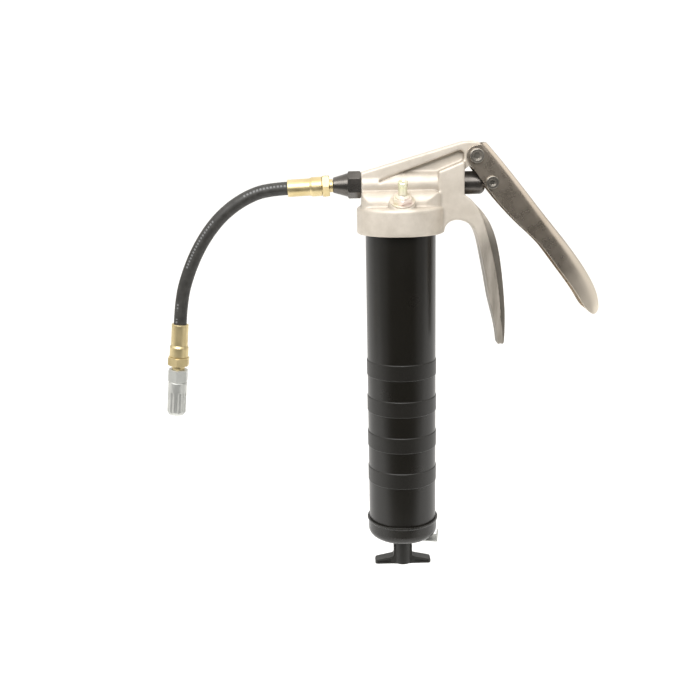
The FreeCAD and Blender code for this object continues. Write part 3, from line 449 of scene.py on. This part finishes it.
def build_soft_head(materials):
    """The head casting again, with the rounded edges and filled corners that a die casting has."""
    source = frame["nodes"]["head_casting"]
    head = bpy.data.objects.new("soft_head_casting", source.data.copy())
    bpy.context.scene.collection.objects.link(head)
    remesh = head.modifiers.new("one_skin", "REMESH")
    remesh.mode = "VOXEL"
    remesh.voxel_size = HEAD_VOXEL
    soften = head.modifiers.new("soften", "SMOOTH")
    soften.factor = HEAD_SMOOTHING_FACTOR
    soften.iterations = HEAD_SMOOTHING
    evaluated = head.evaluated_get(bpy.context.evaluated_depsgraph_get())
    skin = bpy.data.meshes.new_from_object(evaluated)
    head.modifiers.clear()
    head.data = skin
    skin.name = "soft_head_casting"
    skin.materials.clear()
    skin.materials.append(materials["cast_aluminium"])
    skin.shade_smooth()
    clear_pocket(skin)
    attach(head, "gun")
    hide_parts("head_casting")


def clear_pocket(skin):
    """Move the pocket's wall back out, so that the plunger's cap slides in without touching it."""
    clear = POCKET_R + POCKET_CLEAR
    for vertex in skin.vertices:
        across, up = vertex.co.y, vertex.co.z - PUMP_Z
        radius = math.hypot(across, up)
        along = POCKET_X[0] < vertex.co.x < POCKET_X[1]
        if along and POCKET_R - POCKET_SHRINKAGE < radius < clear:
            vertex.co.y = across * clear / radius
            vertex.co.z = PUMP_Z + up * clear / radius


# ----------------------------------------------------------------- springs

def build_springs():
    """Each spring again, as its own copy of the CAD mesh, attached to the gun."""
    for name, joint_name in SPRINGS.items():
        spring = bpy.data.objects.new("pressed_" + name, frame["nodes"][name].data.copy())
        bpy.context.scene.collection.objects.link(spring)
        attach(spring, "gun")
        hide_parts(name)
        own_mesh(spring)


# -------------------------------------------------------------------- hose

def build_hose(materials):
    """The hose as one smooth curve, from the upper ferrule to the lower one."""
    line = bpy.data.curves.new("hose_line", "CURVE")
    line.dimensions = "3D"
    spline = line.splines.new("NURBS")
    spline.points.add(len(HOSE_ROUTE) - 1)
    for point, (x, z) in zip(spline.points, HOSE_ROUTE):
        point.co = (x * MM, 0.0, z * MM, 1.0)
    spline.order_u = 3
    spline.use_endpoint_u = True
    spline.resolution_u = HOSE_STEPS
    line.bevel_depth = HOSE_DIAMETER / 2
    line.bevel_resolution = HOSE_BEVEL_STEPS
    line.use_fill_caps = True
    hose = bpy.data.objects.new("flexible_hose", line)
    bpy.context.scene.collection.objects.link(hose)
    line.materials.append(materials["hose_rubber"])
    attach(hose, "gun")
    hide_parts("hose")
    on_hose = [frame["nodes"][name] for name in (
        "lower_ferrule", "lower_hose_nipple", "coupler_body", "coupler_sleeve", "coupler_jaws",
        "coupler_seal", "coupler_washer")]
    on_hose.append(bpy.data.objects["pressed_coupler_spring"])
    x, z = HOSE_ROUTE[0]


# ------------------------------------------------------------ camera and stage

def place_camera():
    """Turned right by the yaw, down by the pitch, and about its own line of sight by the roll."""
    data = bpy.data.cameras.new("camera")
    data.sensor_width = CAMERA_SENSOR
    data.lens = CAMERA_LENS
    data.clip_start = CAMERA_CLIP
    camera = bpy.data.objects.new("camera", data)
    bpy.context.scene.collection.objects.link(camera)
    yaw, pitch = math.radians(CAMERA_YAW), math.radians(CAMERA_PITCH)
    forward = Vector((math.sin(yaw) * math.cos(pitch), math.cos(yaw) * math.cos(pitch), -math.sin(pitch)))
    level = forward.to_track_quat("-Z", "Y")
    camera.rotation_mode = "QUATERNION"
    camera.rotation_quaternion = level @ Quaternion((0, 0, 1), math.radians(-CAMERA_ROLL))
    camera.location = CAMERA_AT
    bpy.context.scene.camera = camera


def build_stage():
    """A pale floor, under the object and far out to the sides and the back."""
    mesh = bpy.data.meshes.new("studio_floor")
    work = bmesh.new()
    corners = [(-FLOOR_HALF_WIDTH, FLOOR_FRONT), (FLOOR_HALF_WIDTH, FLOOR_FRONT),
               (FLOOR_HALF_WIDTH, FLOOR_BACK), (-FLOOR_HALF_WIDTH, FLOOR_BACK)]
    work.faces.new([work.verts.new((x, y, 0.0)) for x, y in corners])
    work.to_mesh(mesh)
    work.free()
    floor = bpy.data.objects.new("studio_floor", mesh)
    floor.location.z = cad_bounds[0].z - FLOOR_DROP
    bpy.context.scene.collection.objects.link(floor)
    shader = Shader("pale_floor")
    shader.set(Base_Color=FLOOR_COLOUR, Roughness=0.9)
    mesh.materials.append(shader.material)


def place_softbox():
    data = bpy.data.lights.new("front_softbox", "AREA")
    data.shape = "RECTANGLE"
    data.size, data.size_y = SOFTBOX_SIZE
    data.energy = SOFTBOX_POWER
    light = bpy.data.objects.new("front_softbox", data)
    light.location = SOFTBOX_AT
    light.rotation_mode = "QUATERNION"
    aim = Vector(SOFTBOX_TOWARDS) - Vector(SOFTBOX_AT)
    light.rotation_quaternion = aim.to_track_quat("-Z", "Y")
    bpy.context.scene.collection.objects.link(light)


def direction_ramp(tree, value, low, high, to_low, to_high):
    """A strength that changes smoothly from one value to another with a direction's component."""
    ramp = tree.nodes.new("ShaderNodeMapRange")
    ramp.interpolation_type = "SMOOTHSTEP"
    for key, number in (("From Min", low), ("From Max", high), ("To Min", to_low), ("To Max", to_high)):
        ramp.inputs[key].default_value = number
    tree.links.new(value, ramp.inputs["Value"])
    return ramp.outputs["Result"]


def light_studio():
    """A white room, brighter above and dark in front of the object, lit by one large softbox."""
    place_softbox()
    world = bpy.data.worlds.new("studio_world")
    world.use_nodes = True
    tree = world.node_tree
    background = tree.nodes["Background"]
    background.inputs["Color"].default_value = ROOM_TINT
    direction = tree.nodes.new("ShaderNodeTexCoord").outputs["Generated"]
    split = tree.nodes.new("ShaderNodeSeparateXYZ")
    tree.links.new(direction, split.inputs["Vector"])
    room = direction_ramp(tree, split.outputs["Y"], *ROOM_FRONT_TO_BACK)
    ceiling = direction_ramp(tree, split.outputs["Z"], *ROOM_LOW_TO_HIGH)
    lit = tree.nodes.new("ShaderNodeMath")
    lit.operation = "MULTIPLY"
    tree.links.new(room, lit.inputs[0])
    tree.links.new(ceiling, lit.inputs[1])
    seen = tree.nodes.new("ShaderNodeMix")
    seen.inputs["B"].default_value = BACKDROP_STRENGTH
    to_camera = tree.nodes.new("ShaderNodeLightPath").outputs["Is Camera Ray"]
    tree.links.new(to_camera, seen.inputs["Factor"])
    tree.links.new(lit.outputs[0], seen.inputs["A"])
    tree.links.new(seen.outputs["Result"], background.inputs["Strength"])
    bpy.context.scene.world = world
    bpy.context.scene.view_settings.view_transform = "Standard"


place_camera()
MATERIALS = finishes()
paint_cad_nodes(MATERIALS)
build_soft_head(MATERIALS)
build_springs()
build_hose(MATERIALS)
build_stage()
light_studio()
